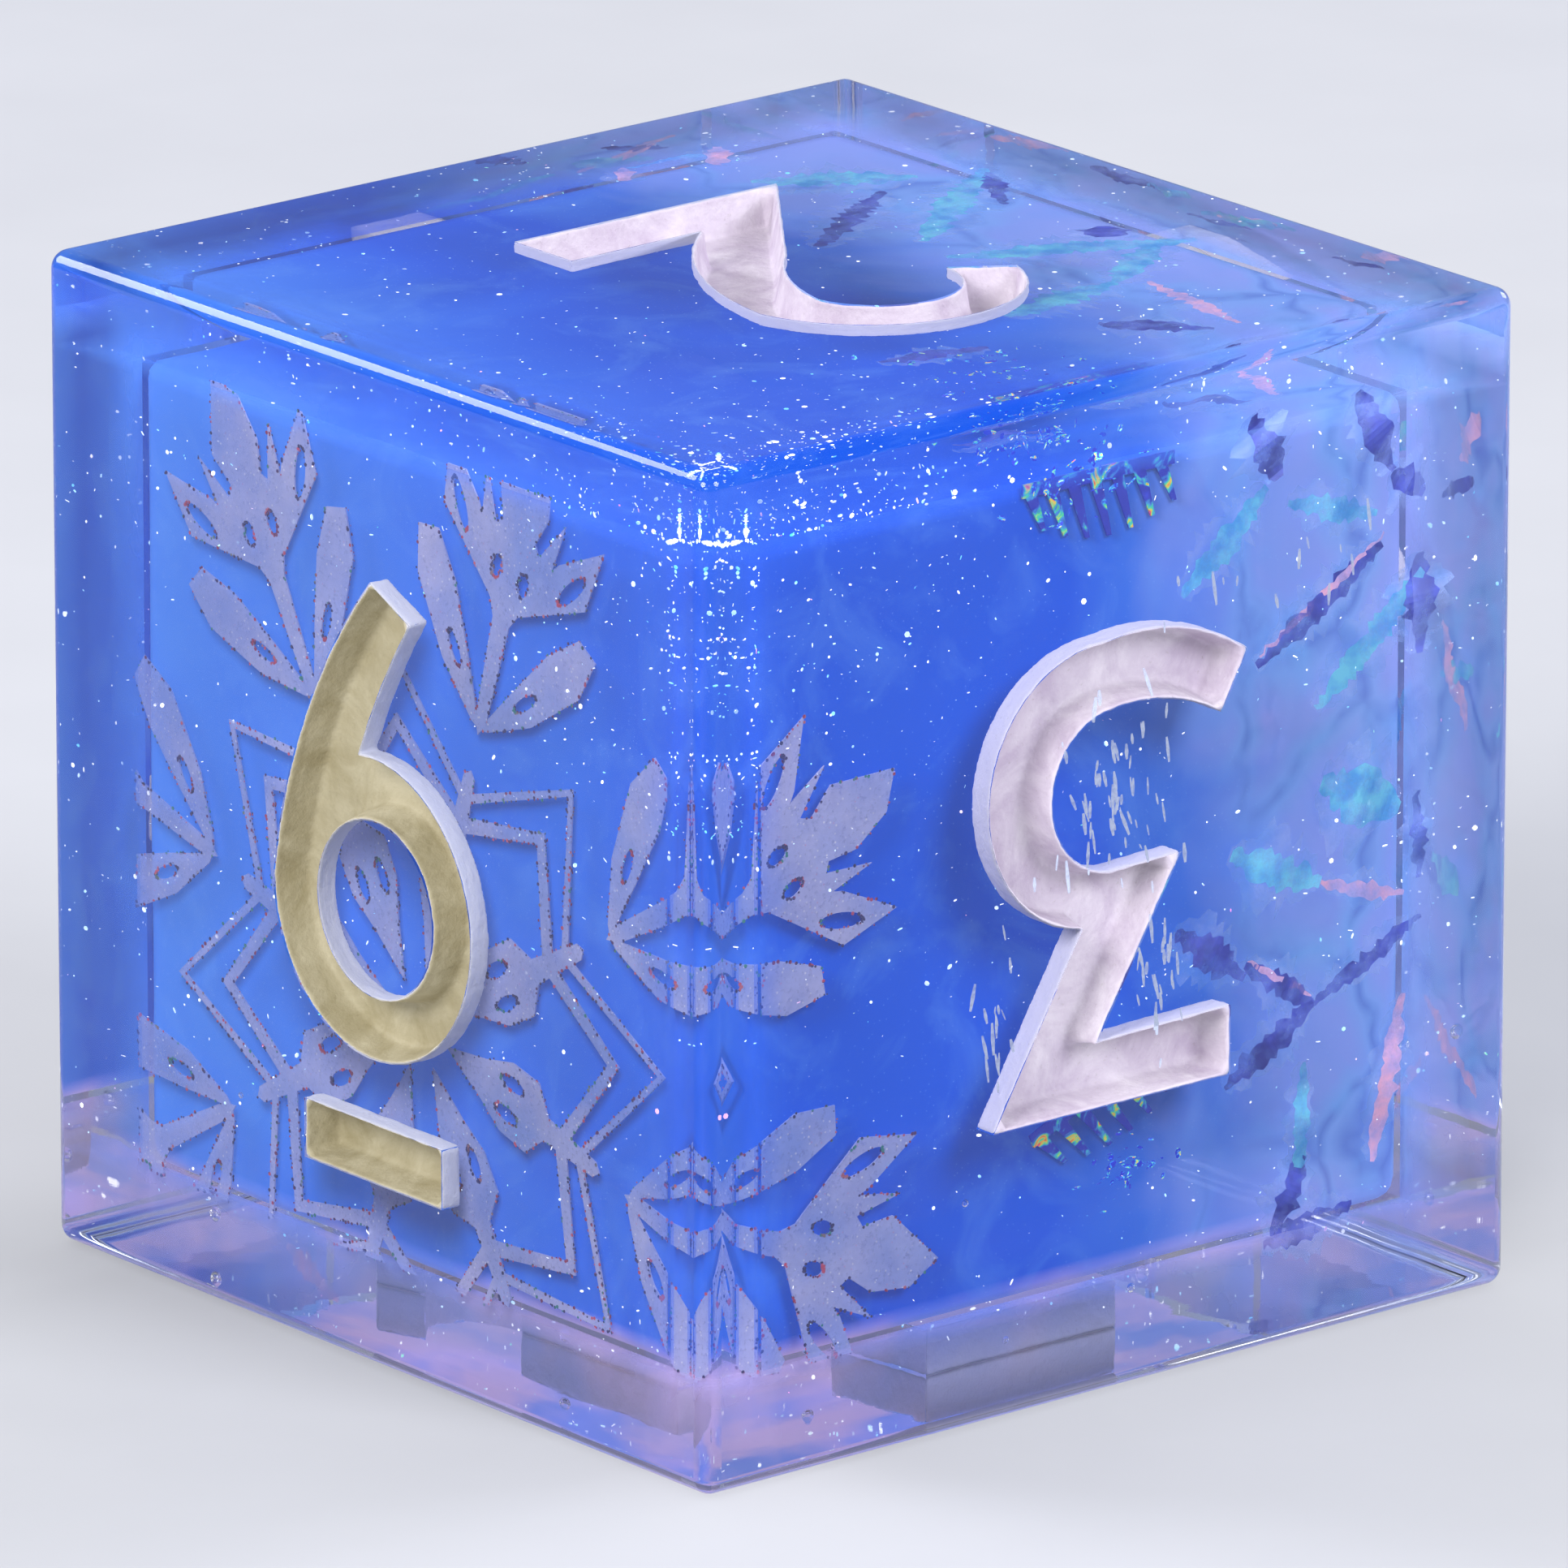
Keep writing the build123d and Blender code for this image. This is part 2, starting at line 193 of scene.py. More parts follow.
class Nodes:
    """Short calls for building one node tree."""

    def __init__(self, name):
        self.material = bpy.data.materials.new(name)
        self.material.use_nodes = True
        self.tree = self.material.node_tree
        self.tree.nodes.clear()
        self.output = self.add("ShaderNodeOutputMaterial")

    def add(self, kind, inputs=None, **settings):
        node = self.tree.nodes.new(kind)
        for key, value in settings.items():
            setattr(node, key, value)
        for key, value in (inputs or {}).items():
            self.put(node.inputs[key], value)
        return node

    def put(self, socket, value):
        if isinstance(value, bpy.types.NodeSocket):
            self.tree.links.new(value, socket)
        elif isinstance(value, bpy.types.Node):
            self.tree.links.new(value.outputs[0], socket)
        else:
            socket.default_value = value

    def place(self):
        """Position in millimetres from the die's middle."""
        where = self.add("ShaderNodeTexCoord").outputs["Object"]
        moved = self.add("ShaderNodeVectorMath", {0: where, 1: MIDDLE}, operation="SUBTRACT")
        return self.add("ShaderNodeVectorMath", {0: moved, "Scale": 1 / MM}, operation="SCALE")

    def noise(self, vector, scale, detail=3.0, roughness=0.5, distortion=0.0):
        inputs = {"Vector": vector, "Scale": scale, "Detail": detail,
                  "Roughness": roughness, "Distortion": distortion}
        return self.add("ShaderNodeTexNoise", inputs).outputs["Fac"]

    def voronoi(self, vector, scale, feature="F1"):
        inputs = {"Vector": vector, "Scale": scale}
        return self.add("ShaderNodeTexVoronoi", inputs, feature=feature)

    def math(self, operation, first, second=0.0, clamp=False):
        return self.add("ShaderNodeMath", {0: first, 1: second}, operation=operation,
                        use_clamp=clamp)

    def span(self, value, low, high, to_low=0.0, to_high=1.0):
        inputs = {"Value": value, "From Min": low, "From Max": high,
                  "To Min": to_low, "To Max": to_high}
        return self.add("ShaderNodeMapRange", inputs, clamp=True)

    def ramp(self, value, *stops):
        node = self.add("ShaderNodeValToRGB", {"Fac": value})
        ramp = node.color_ramp
        while len(ramp.elements) < len(stops):
            ramp.elements.new(0.5)
        for element, (at, colour) in zip(ramp.elements, stops):
            element.position = at
            element.color = (*colour, 1)
        return node.outputs["Color"]

    def mix(self, factor, first, second, blend="MIX"):
        node = self.add("ShaderNodeMix", data_type="RGBA", blend_type=blend)
        self.put(node.inputs[0], factor)
        self.put(node.inputs[6], first)
        self.put(node.inputs[7], second)
        return node.outputs[2]

    def bump(self, height, strength, distance):
        inputs = {"Height": height, "Strength": strength, "Distance": distance}
        return self.add("ShaderNodeBump", inputs)

    def principled(self, **inputs):
        named = {key.replace("_", " "): value for key, value in inputs.items()}
        return self.add("ShaderNodeBsdfPrincipled", named)

    def finish(self, shader):
        self.put(self.output.inputs["Surface"], shader)
        return self.material


def srgb(red, green, blue):
    """A linear colour from 0-255 screen values."""
    def linear(value):
        value /= 255
        return value / 12.92 if value <= 0.04045 else ((value + 0.055) / 1.055) ** 2.4
    return (linear(red), linear(green), linear(blue))


def with_alpha(colour):
    return (*colour, 1)


# ---------------------------------------------------------------- materials

def clear_resin():
    """Hand-polished clear resin: faint haze, fine rub marks, a breath of lavender."""
    nodes = Nodes("clear_resin")
    place = nodes.place()
    swell = nodes.noise(place, 0.35, 2.0)
    rubbed = nodes.add("ShaderNodeMapping", {"Vector": place, "Scale": (9.0, 9.0, 1.1)})
    rub = nodes.noise(rubbed, 1.0, 4.0)
    haze = nodes.span(nodes.noise(place, 1.3, 4.0), 0.55, 0.8, 0.0, 0.06)
    height = nodes.math("ADD", nodes.math("MULTIPLY", swell, 0.9), nodes.math("MULTIPLY", rub, 0.012))
    shader = nodes.principled(
        Base_Color=with_alpha((0.93, 0.95, 1.0)), Roughness=haze, IOR=1.5,
        Transmission_Weight=1.0, Specular_IOR_Level=0.5,
        Normal=nodes.bump(height, 0.25, 0.08 * MM))
    return nodes.finish(shader)


def core_colour(nodes, place):
    """Pale cyan at the back left, royal blue, then milky lavender with creases by the foils, a painted
    sheen beside the creases and painted pink light on the underside.
    """
    split = nodes.add("ShaderNodeSeparateXYZ", {0: place})
    drift = nodes.math("MULTIPLY", nodes.math("SUBTRACT", nodes.noise(place, 0.2, 3.0, 0.6, 0.8), 0.5), 6.0)
    behind = nodes.math("MULTIPLY", nodes.math("ADD", split.outputs["Y"], 7.0),
                        nodes.span(split.outputs["X"], 0.0, -6.6, 0.0, 0.45))
    across = nodes.math("SUBTRACT", nodes.math("ADD", split.outputs["X"], drift), behind)
    body = nodes.ramp(
        nodes.span(across, -13.0, 8.0),
        (0.0, srgb(66, 128, 228)), (0.22, srgb(36, 102, 224)), (0.36, srgb(10, 84, 216)),
        (0.6, srgb(4, 82, 214)), (0.69, srgb(44, 106, 220)), (0.79, srgb(116, 146, 232)),
        (1.0, srgb(152, 168, 240)))
    cloud = nodes.span(nodes.noise(place, 0.5, 5.0, 0.6, 1.2), 0.5, 0.75)
    body = nodes.mix(nodes.math("MULTIPLY", cloud, 0.3), body, with_alpha(srgb(100, 156, 236)))

    wander = nodes.add("ShaderNodeTexNoise", {"Vector": place, "Scale": 0.5}).outputs["Color"]
    wander = nodes.add("ShaderNodeVectorMath", {0: wander, "Scale": 2.2}, operation="SCALE")
    bent = nodes.add("ShaderNodeVectorMath", {0: place, 1: wander}, operation="ADD")
    stretched = nodes.add("ShaderNodeMapping", {
        "Vector": bent, "Rotation": (0.3, 0.5, 0.9), "Scale": (1.0, 0.55, 0.6)})
    fold = nodes.voronoi(stretched, 0.42, "DISTANCE_TO_EDGE").outputs["Distance"]
    foiled = nodes.span(across, 2.0, 4.4)
    # Painted sheen: a lighter cyan band beside each fold, mixed in below; the navy line lies on the fold
    # itself.
    halo = nodes.math("MULTIPLY", foiled, nodes.span(fold, 0.0, 0.16, 0.45, 0.0))
    line = nodes.math("MULTIPLY", foiled, nodes.span(fold, 0.0, 0.06, 0.5, 0.0))
    line = nodes.math("MULTIPLY", line, nodes.span(nodes.noise(place, 0.8, 3.0), 0.4, 0.55))
    body = nodes.mix(halo, body, with_alpha(srgb(92, 176, 240)))
    body = nodes.mix(line, body, with_alpha(srgb(44, 60, 184)))

    # Painted light: the body's lowest band and its underside turn lavender-pink, and blue_resin makes them
    # glow more.
    under = nodes.span(split.outputs["Z"], -6.1, -6.45)
    pink = nodes.mix(nodes.span(nodes.noise(place, 0.35, 3.0), 0.4, 0.6),
                     with_alpha(srgb(120, 138, 216)), with_alpha(srgb(196, 170, 212)))
    body = nodes.mix(nodes.math("MULTIPLY", under, 0.8), body, pink)
    return body, across, under


def blue_resin():
    """The coloured resin of the core, with fine dust in it and a painted glow."""
    nodes = Nodes("blue_resin")
    place = nodes.place()
    body, across, under = core_colour(nodes, place)
    dust = nodes.span(nodes.voronoi(place, 9.0).outputs["Distance"], 0.0, 0.16, 1.0, 0.0)
    body = nodes.mix(nodes.math("MULTIPLY", dust, 0.3), body, with_alpha(srgb(140, 190, 250)))
    opacity = nodes.span(across, 1.0, 6.0, 0.97, 0.8)
    # Painted glow: the body emits its own colour at 0.27, rising to 0.8 on the underside.
    shader = nodes.principled(
        Base_Color=body, Roughness=0.5, IOR=1.05, Specular_IOR_Level=0.1,
        Emission_Color=body, Emission_Strength=nodes.span(under, 0.0, 1.0, 0.27, 0.8))
    clear = nodes.add("ShaderNodeBsdfTransparent", {"Color": with_alpha((0.90, 0.93, 1.0))})
    return nodes.finish(nodes.add("ShaderNodeMixShader", {0: opacity, 1: clear, 2: shader}))


def milky_resin():
    """Colour that has bled from the core into the clear casting round it, with a painted glow."""
    nodes = Nodes("milky_resin")
    place = nodes.place()
    body, _, _ = core_colour(nodes, place)
    # Painted glow: the veils emit their colour at 0.3.
    shader = nodes.principled(Base_Color=body, Roughness=0.6, Specular_IOR_Level=0.1,
                              Emission_Color=body, Emission_Strength=0.3)
    bled = nodes.span(nodes.noise(place, 0.5, 4.0, 0.6, 0.6), 0.32, 0.68, 0.3, 0.6)
    size = nodes.add("ShaderNodeVectorMath", {0: place}, operation="ABSOLUTE")
    size = nodes.add("ShaderNodeSeparateXYZ", {0: size})
    farthest = nodes.math("MAXIMUM", nodes.math("MAXIMUM", size.outputs["X"], size.outputs["Y"]),
                          size.outputs["Z"])
    bled = nodes.math("MULTIPLY", bled, nodes.span(farthest, 6.7, 7.85, 1.0, 0.1))
    clear = nodes.add("ShaderNodeBsdfTransparent")
    return nodes.finish(nodes.add("ShaderNodeMixShader", {0: bled, 1: clear, 2: shader}))


def crease_material(name, deep, bright, strength):
    """A foil crease: coloured, fading in and out along its length, with a painted glow."""
    nodes = Nodes(name)
    place = nodes.place()
    tone = nodes.span(nodes.noise(place, 2.4, 3.0), 0.38, 0.62)
    colour = nodes.mix(tone, with_alpha(deep), with_alpha(bright))
    # Painted glow: the strip emits its colour at 0.15.
    shader = nodes.principled(Base_Color=colour, Roughness=0.4, Metallic=0.2,
                              Emission_Color=colour, Emission_Strength=0.15)
    fade = nodes.span(nodes.noise(place, 1.6, 5.0, 0.7), 0.34, 0.58, strength * 0.35, strength)
    clear = nodes.add("ShaderNodeBsdfTransparent")
    return nodes.finish(nodes.add("ShaderNodeMixShader", {0: fade, 1: clear, 2: shader}))


def numeral_paint(name, back, floor, pool):
    """Matt paint with a faint painted glow: one colour on its open side, another on the back that touches
    the resin.
    """
    nodes = Nodes(name)
    place = nodes.place()
    mottled = nodes.span(nodes.noise(place, 1.0, 5.0, 0.65, 0.6), 0.35, 0.7)
    bottom = nodes.mix(mottled, with_alpha(pool), with_alpha(floor))
    open_side = nodes.add("ShaderNodeAttribute", attribute_name="open_side").outputs["Fac"]
    colour = nodes.mix(open_side, with_alpha(back), bottom)
    grain = nodes.noise(place, 11.0, 4.0, 0.7)
    colour = nodes.mix(nodes.span(grain, 0.62, 0.75, 0.0, 0.3), colour, with_alpha(srgb(120, 110, 85)))
    lumps = nodes.math("ADD", nodes.noise(place, 4.0, 4.0), nodes.math("MULTIPLY", grain, 0.5))
    # Painted glow: the paint emits its colour at 0.12, so it stays light where shade falls.
    shader = nodes.principled(
        Base_Color=colour, Roughness=nodes.span(grain, 0.3, 0.7, 0.5, 0.78), Specular_IOR_Level=0.35,
        Emission_Color=colour, Emission_Strength=0.12,
        Normal=nodes.bump(lumps, 0.6, 0.05 * MM))
    return nodes.finish(shader)


def fleck_material():
    """Navy, maroon and teal, changing from fleck to fleck."""
    nodes = Nodes("film_flecks")
    cell = nodes.voronoi(nodes.place(), 7.0).outputs["Color"]
    pick = nodes.add("ShaderNodeSeparateColor", {0: cell}).outputs["Red"]
    colour = nodes.ramp(pick, (0.0, srgb(24, 30, 90)), (0.45, srgb(44, 44, 110)),
                        (0.6, srgb(130, 40, 90)), (0.78, srgb(190, 80, 120)), (0.9, srgb(40, 120, 130)))
    return nodes.finish(nodes.principled(Base_Color=colour, Roughness=0.5))


def smear_material():
    """Thin, half-worn paint."""
    nodes = Nodes("paint_smear")
    worn = nodes.span(nodes.noise(nodes.place(), 7.0, 3.0), 0.35, 0.65, 0.35, 0.8)
    paint_left = nodes.principled(Base_Color=with_alpha(srgb(206, 218, 246)), Roughness=0.6)
    clear = nodes.add("ShaderNodeBsdfTransparent")
    return nodes.finish(nodes.add("ShaderNodeMixShader", {0: worn, 1: clear, 2: paint_left}))


def printed_film():
    """Pearly grey print, half see-through, with pin holes, painted white glints and a faint painted glow.
    """
    nodes = Nodes("printed_film")
    place = nodes.place()
    tint = nodes.span(nodes.noise(place, 0.5, 4.0), 0.35, 0.68)
    colour = nodes.mix(tint, with_alpha(srgb(134, 156, 232)), with_alpha(srgb(184, 186, 236)))
    speck = nodes.voronoi(place, 6.5)
    dots = nodes.span(speck.outputs["Distance"], 0.05, 0.13, 1.0, 0.0)
    colour = nodes.mix(nodes.math("MULTIPLY", dots, 0.5), colour, with_alpha(srgb(200, 120, 170)))
    # Painted glints: near-white spots.
    glint = nodes.span(nodes.voronoi(place, 8.5).outputs["Distance"], 0.08, 0.2, 0.75, 0.0)
    colour = nodes.mix(glint, colour, with_alpha(srgb(236, 236, 255)))
    grain = nodes.noise(place, 14.0, 3.0)
    opacity = nodes.span(nodes.noise(place, 0.9, 4.0, 0.7), 0.3, 0.7, 0.5, 0.86)
    opacity = nodes.math("SUBTRACT", opacity, nodes.span(grain, 0.55, 0.8, 0.0, 0.35))
    split = nodes.add("ShaderNodeSeparateXYZ", {0: place})
    opacity = nodes.math("MULTIPLY", opacity, nodes.span(split.outputs["Y"], 1.5, 6.0, 1.0, 0.6))
    # Painted glow: the film emits its colour at 0.08.
    shader = nodes.principled(Base_Color=colour, Roughness=0.45, Emission_Color=colour,
                              Emission_Strength=0.08, Normal=nodes.bump(grain, 0.3, 0.02 * MM))
    clear = nodes.add("ShaderNodeBsdfTransparent")
    return nodes.finish(nodes.add("ShaderNodeMixShader", {0: opacity, 1: clear, 2: shader}))


def iridescent_foil():
    """Clear film whose creases flash navy, cyan, pink and green, with a painted sheen beside them and a
    painted glow.
    """
    nodes = Nodes("iridescent_foil")
    place = nodes.place()
    wander = nodes.add("ShaderNodeTexNoise", {"Vector": place, "Scale": 0.6}).outputs["Color"]
    wander = nodes.add("ShaderNodeVectorMath", {0: wander, "Scale": 1.6}, operation="SCALE")
    bent = nodes.add("ShaderNodeVectorMath", {0: place, 1: wander}, operation="ADD")
    stretched = nodes.add("ShaderNodeMapping", {
        "Vector": bent, "Rotation": (0.3, 0.5, 0.9), "Scale": (1.0, 0.45, 0.6)})
    wide = nodes.voronoi(stretched, 0.55, "DISTANCE_TO_EDGE").outputs["Distance"]
    fine = nodes.voronoi(bent, 0.8, "DISTANCE_TO_EDGE").outputs["Distance"]
    main = nodes.span(wide, 0.02, 0.05, 1.0, 0.0)
    hair = nodes.span(fine, 0.008, 0.02, 0.7, 0.0)
    crease = nodes.math("MAXIMUM", main, hair)
    # Painted sheen: a band beside each crease that shows the film's light colours.
    halo = nodes.span(wide, 0.05, 0.16, 0.45, 0.0)
    hue = nodes.noise(place, 0.9, 3.0, 0.5, 0.4)
    dark = nodes.ramp(
        hue, (0.0, srgb(18, 34, 140)), (0.42, srgb(30, 56, 180)), (0.5, srgb(60, 150, 225)),
        (0.58, srgb(30, 60, 190)), (0.66, srgb(220, 150, 215)), (0.8, srgb(40, 190, 190)))
    glow = nodes.ramp(
        hue, (0.0, srgb(90, 150, 240)), (0.45, srgb(80, 190, 240)), (0.6, srgb(190, 165, 235)),
        (0.8, srgb(235, 170, 210)))
    colour = nodes.mix(crease, glow, dark)
    opacity = nodes.math("MAXIMUM", nodes.math("MULTIPLY", crease, 0.9), halo)
    opacity = nodes.math("ADD", opacity, 0.07, clamp=True)
    # Painted glow: the foil emits its colour at 0.12.
    shader = nodes.principled(Base_Color=colour, Roughness=0.25, Metallic=0.3,
                              Emission_Color=colour, Emission_Strength=0.12,
                              Normal=nodes.bump(wide, 0.5, 0.1 * MM))
    clear = nodes.add("ShaderNodeBsdfTransparent", {"Color": with_alpha((0.97, 0.97, 1.0))})
    return nodes.finish(nodes.add("ShaderNodeMixShader", {0: opacity, 1: clear, 2: shader}))


def shred_foil(name, pace, glow):
    """The torn shreds: metallic, navy turning through every colour, with a painted glow."""
    nodes = Nodes(name)
    place = nodes.place()
    hue = nodes.noise(place, pace, 3.0, 0.6, 0.8)
    colour = nodes.ramp(
        hue, (0.0, srgb(20, 36, 150)), (0.5, srgb(34, 54, 184)), (0.56, srgb(60, 150, 220)),
        (0.6, srgb(60, 220, 160)), (0.64, srgb(236, 206, 80)), (0.68, srgb(236, 80, 90)),
        (0.74, srgb(200, 80, 220)))
    # Painted glow: the foil emits its colour at the given strength, strong for the sparkle flakes.
    shader = nodes.principled(Base_Color=colour, Roughness=0.25, Metallic=0.6,
                              Emission_Color=colour, Emission_Strength=glow)
    return nodes.finish(shader)


def glitter_material(name, colour, glow):
    nodes = Nodes(name)
    place = nodes.place()
    tone = nodes.noise(place, 2.5, 2.0)
    tint = nodes.mix(nodes.span(tone, 0.35, 0.65), with_alpha(colour), with_alpha(srgb(255, 255, 255)))
    # Painted glints: the flakes glow with their colour at the given strength.
    shader = nodes.principled(Base_Color=tint, Roughness=0.25, Metallic=0.3,
                              Emission_Color=tint, Emission_Strength=glow)
    return nodes.finish(shader)


def air():
    """An air bubble in resin."""
    nodes = Nodes("air_bubble")
    tone = nodes.noise(nodes.place(), 3.0)
    shader = nodes.principled(Base_Color=with_alpha((1, 1, 1)), IOR=0.67, Transmission_Weight=1.0,
                              Roughness=nodes.span(tone, 0.3, 0.7, 0.0, 0.03))
    return nodes.finish(shader)


def floor_material():
    nodes = Nodes("pale_floor")
    grain = nodes.noise(nodes.place(), 0.2, 4.0)
    colour = nodes.mix(grain, with_alpha((0.60, 0.61, 0.64)), with_alpha((0.66, 0.67, 0.70)))
    return nodes.finish(nodes.principled(Base_Color=colour, Roughness=0.6))


# ------------------------------------------------------------------- pieces

def casting_skin():
    """The die's outer surface: the CAD casting without the walls of its inner hollow."""
    bm = cad_mesh("clear_casting")
    hollow = CORE / 2 + 0.02 * MM
    inner = [v for v in bm.verts if max(abs(c) for c in v.co - MIDDLE) < hollow]
    bmesh.ops.delete(bm, geom=inner, context="VERTS")
    piece = finished("clear_skin", bm, clear_resin(), smooth_angle=25, lets_light_by=True)
    for polygon in piece.data.polygons:
        polygon.use_smooth = max(abs(c) for c in polygon.normal) < FLAT
    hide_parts("clear_casting")


def core_body():
    """The coloured body of the core, its faces slightly uneven, just under its clear skin."""
    half = CORE / 2 - CLEAR_SKIN
    bm = bmesh.new()
    bmesh.ops.create_cube(bm, size=2 * half)
    bmesh.ops.bevel(bm, geom=bm.edges[:], offset=BODY_BEVEL, segments=3, profile=0.5, affect="EDGES")
    bmesh.ops.subdivide_edges(bm, edges=[e for e in bm.edges if e.calc_length() > 5 * MM],
                              cuts=BODY_CUTS, use_grid_fill=True)
    noise.seed_set(BODY_SEED)    # unseeded, noise_vector takes its offsets from the clock
    for vert in bm.verts:
        sway = noise.noise_vector(vert.co / BODY_WAVE)
        vert.co += sway * BODY_SWAY * MM
        vert.co += MIDDLE
    piece = finished("blue_body", bm, blue_resin(), smooth_angle=40)
    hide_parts("blue_core")


def milky_halo():
    """Thin veils that carry on each face of the blue body out into the clear casting."""
    inner, outer = CORE / 2 - CLEAR_SKIN, DIE / 2 - HALO_CLEAR
    bm = bmesh.new()
    for axis in range(3):
        first, second = (axis + 1) % 3, (axis + 2) % 3
        for side in (-1, 1):
            rings = []
            for reach in (inner, outer):
                ring = []
                for u, v in ((-1, -1), (1, -1), (1, 1), (-1, 1)):
                    spot = Vector((0, 0, 0))
                    spot[axis], spot[first], spot[second] = side * inner, u * reach, v * reach
                    ring.append(bm.verts.new(MIDDLE + spot))
                rings.append(ring)
            for corner in range(4):
                after = (corner + 1) % 4
                bm.faces.new((rings[0][corner], rings[0][after], rings[1][after], rings[1][corner]))
    piece = finished("milky_halo", bm, milky_resin(), lets_light_by=True)


def paint(node, outward, resin, material):
    """A numeral's paint: thin on the walls, thick on the floor, ragged at the rim."""
    name = node.replace("numeral_paint", "paint").replace("underline_paint", "paint_bar")
    piece = finished(name, cad_mesh(node), material)
    applied(piece, "REMESH", mode="VOXEL", voxel_size=PAINT_VOXEL)
    applied(piece, "SMOOTH", factor=0.5, iterations=3)
    mesh = piece.data
    count = len(mesh.vertices)
    spots, normals = np.empty(count * 3), np.empty(count * 3)
    mesh.vertices.foreach_get("co", spots)
    mesh.vertices.foreach_get("normal", normals)
    spots, normals = spots.reshape(-1, 3), normals.reshape(-1, 3)
    touching = np.array([resin.find_nearest(Vector(spot))[0] for spot in spots])
    off_resin = np.linalg.norm(touching - spots, axis=1)
    depth = DIE / 2 - (spots - np.array(MIDDLE)) @ np.array(outward, dtype=float)
    thin = 1 - np.clip(depth / PAINT_THIN_DEPTH, PAINT_LEFT, 1)
    spots += (touching - spots) * thin[:, None]
    rough = np.array([noise.fractal(Vector(spot) / PAINT_LUMP, 0.8, 2.0, 3) for spot in spots])
    spots += normals * ((0.018 + 0.012 * rough) * MM)[:, None]
    mesh.vertices.foreach_set("co", spots.ravel())

    # The open side of the paint has its own colour; its back shows through the resin.
    attribute = mesh.attributes.new("open_side", "FLOAT", "POINT")
    attribute.data.foreach_set("value", np.clip((off_resin / MM - 0.035) / 0.04, 0, 1))
    applied(piece, "DECIMATE", ratio=0.4)
    mesh = piece.data
    mesh.polygons.foreach_set("use_smooth", [True] * len(mesh.polygons))
    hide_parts(node)


def crumpled_foil(node, number, material):
    """A foil sheet in the CAD sheet's place, crumpled into ridges that run every way."""
    low, high = (Vector(corner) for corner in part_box(node))
    middle, size = (low + high) / 2, high - low
    lean = math.radians(FOIL_LEAN)
    along = Vector((0, math.cos(lean), math.sin(lean)))
    facing = Vector((0, -math.sin(lean), math.cos(lean)))
    length = min(size.y / math.cos(lean), size.z / math.sin(lean))
    limit = CORE / 2 - FOIL_CLEAR
    columns, rows = FOIL_COLUMNS, FOIL_ROWS
    bm = bmesh.new()
    grid = []
    for row in range(rows + 1):
        line = []
        for column in range(columns + 1):
            spot = middle + Vector(((column / columns - 0.5) * size.x, 0, 0))
            spot += along * (row / rows - 0.5) * length
            ridge = abs(noise.noise(spot / WIDE_RIDGES + Vector((0, 0, 9 * number)))) - 0.25
            ridge += 0.4 * abs(noise.noise(spot / FINE_RIDGES + Vector((5 * number, 0, 0))))
            spot += facing * ridge * RIDGE_HEIGHT * MM
            offset = spot - MIDDLE
            line.append(bm.verts.new(MIDDLE + Vector(min(max(c, -limit), limit) for c in offset)))
        grid.append(line)
    for row in range(rows):
        for column in range(columns):
            corners = (grid[row][column], grid[row][column + 1],
                       grid[row + 1][column + 1], grid[row + 1][column])
            bm.faces.new(corners)
    piece = finished(f"crumpled_foil_{number}", bm, material, smooth_angle=35, lets_light_by=True)
    applied(piece, "SOLIDIFY", thickness=FOIL_THICKNESS)
    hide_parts(node)


def film_edges():
    """Dark flecks where the printed film was cut, strung along its outline."""
    draw = random.Random(EDGE_FLECK_SEED)
    source = cad_mesh("snowflake_film")
    source.normal_update()
    bm = bmesh.new()
    for edge in source.edges:
        if len(edge.link_faces) != 2:
            continue
        first, second = (face.normal for face in edge.link_faces)
        outer = max((first, second), key=lambda n: -n.x - n.y)
        if first.angle(second) < CUT_ANGLE or -outer.x - outer.y < CUT_FACING:
            continue
        start, end = (vert.co for vert in edge.verts)
        steps = max(1, int((end - start).length / EDGE_FLECK_STEP))
        for step in range(steps):
            if draw.random() < EDGE_FLECK_GAPS:
                continue
            spot = start.lerp(end, (step + draw.random()) / steps)
            spot = spot + outer * 0.012 * MM
            spot += Vector((draw.gauss(0, 1), draw.gauss(0, 1), draw.gauss(0, 1))) * 0.012 * MM
            turn = outer.to_track_quat("Z", "Y").to_matrix()
            turn = turn @ Matrix.Rotation(draw.uniform(0, math.pi), 3, "Z")
            flake(bm, spot, draw.uniform(0.012, 0.034) * MM, turn)
    source.free()
    piece = finished("film_edge_flecks", bm, fleck_material(), lets_light_by=True)


def smears():
    """Traces of wiped paint round the 3, just under the polished surface."""
    draw = random.Random(SMEAR_SEED)
    bm = bmesh.new()
    for right, up, wide, tall, count in ((0.1, 1.5, 0.55, 0.7, 60), (-2.4, -1.4, 0.2, 0.7, 16),
                                         (0.9, -1.4, 0.35, 0.5, 24), (2.6, 4.5, 1.2, 0.4, 12)):
        for _ in range(count):
            spot = Vector((draw.gauss(right, wide), 0, draw.gauss(up, tall))) * MM
            spot.y = -DIE / 2 + SMEAR_DEPTH
            lean = Matrix.Rotation(math.pi / 2, 3, "X") @ Matrix.Rotation(draw.gauss(0.1, 0.15), 3, "Z")
            stretch = Matrix.Diagonal((0.35, draw.uniform(1.0, 3.2), 0.4))
            flake(bm, MIDDLE + spot, draw.uniform(0.04, 0.12) * MM, lean @ stretch)
    piece = finished("paint_smears", bm, smear_material(), lets_light_by=True)


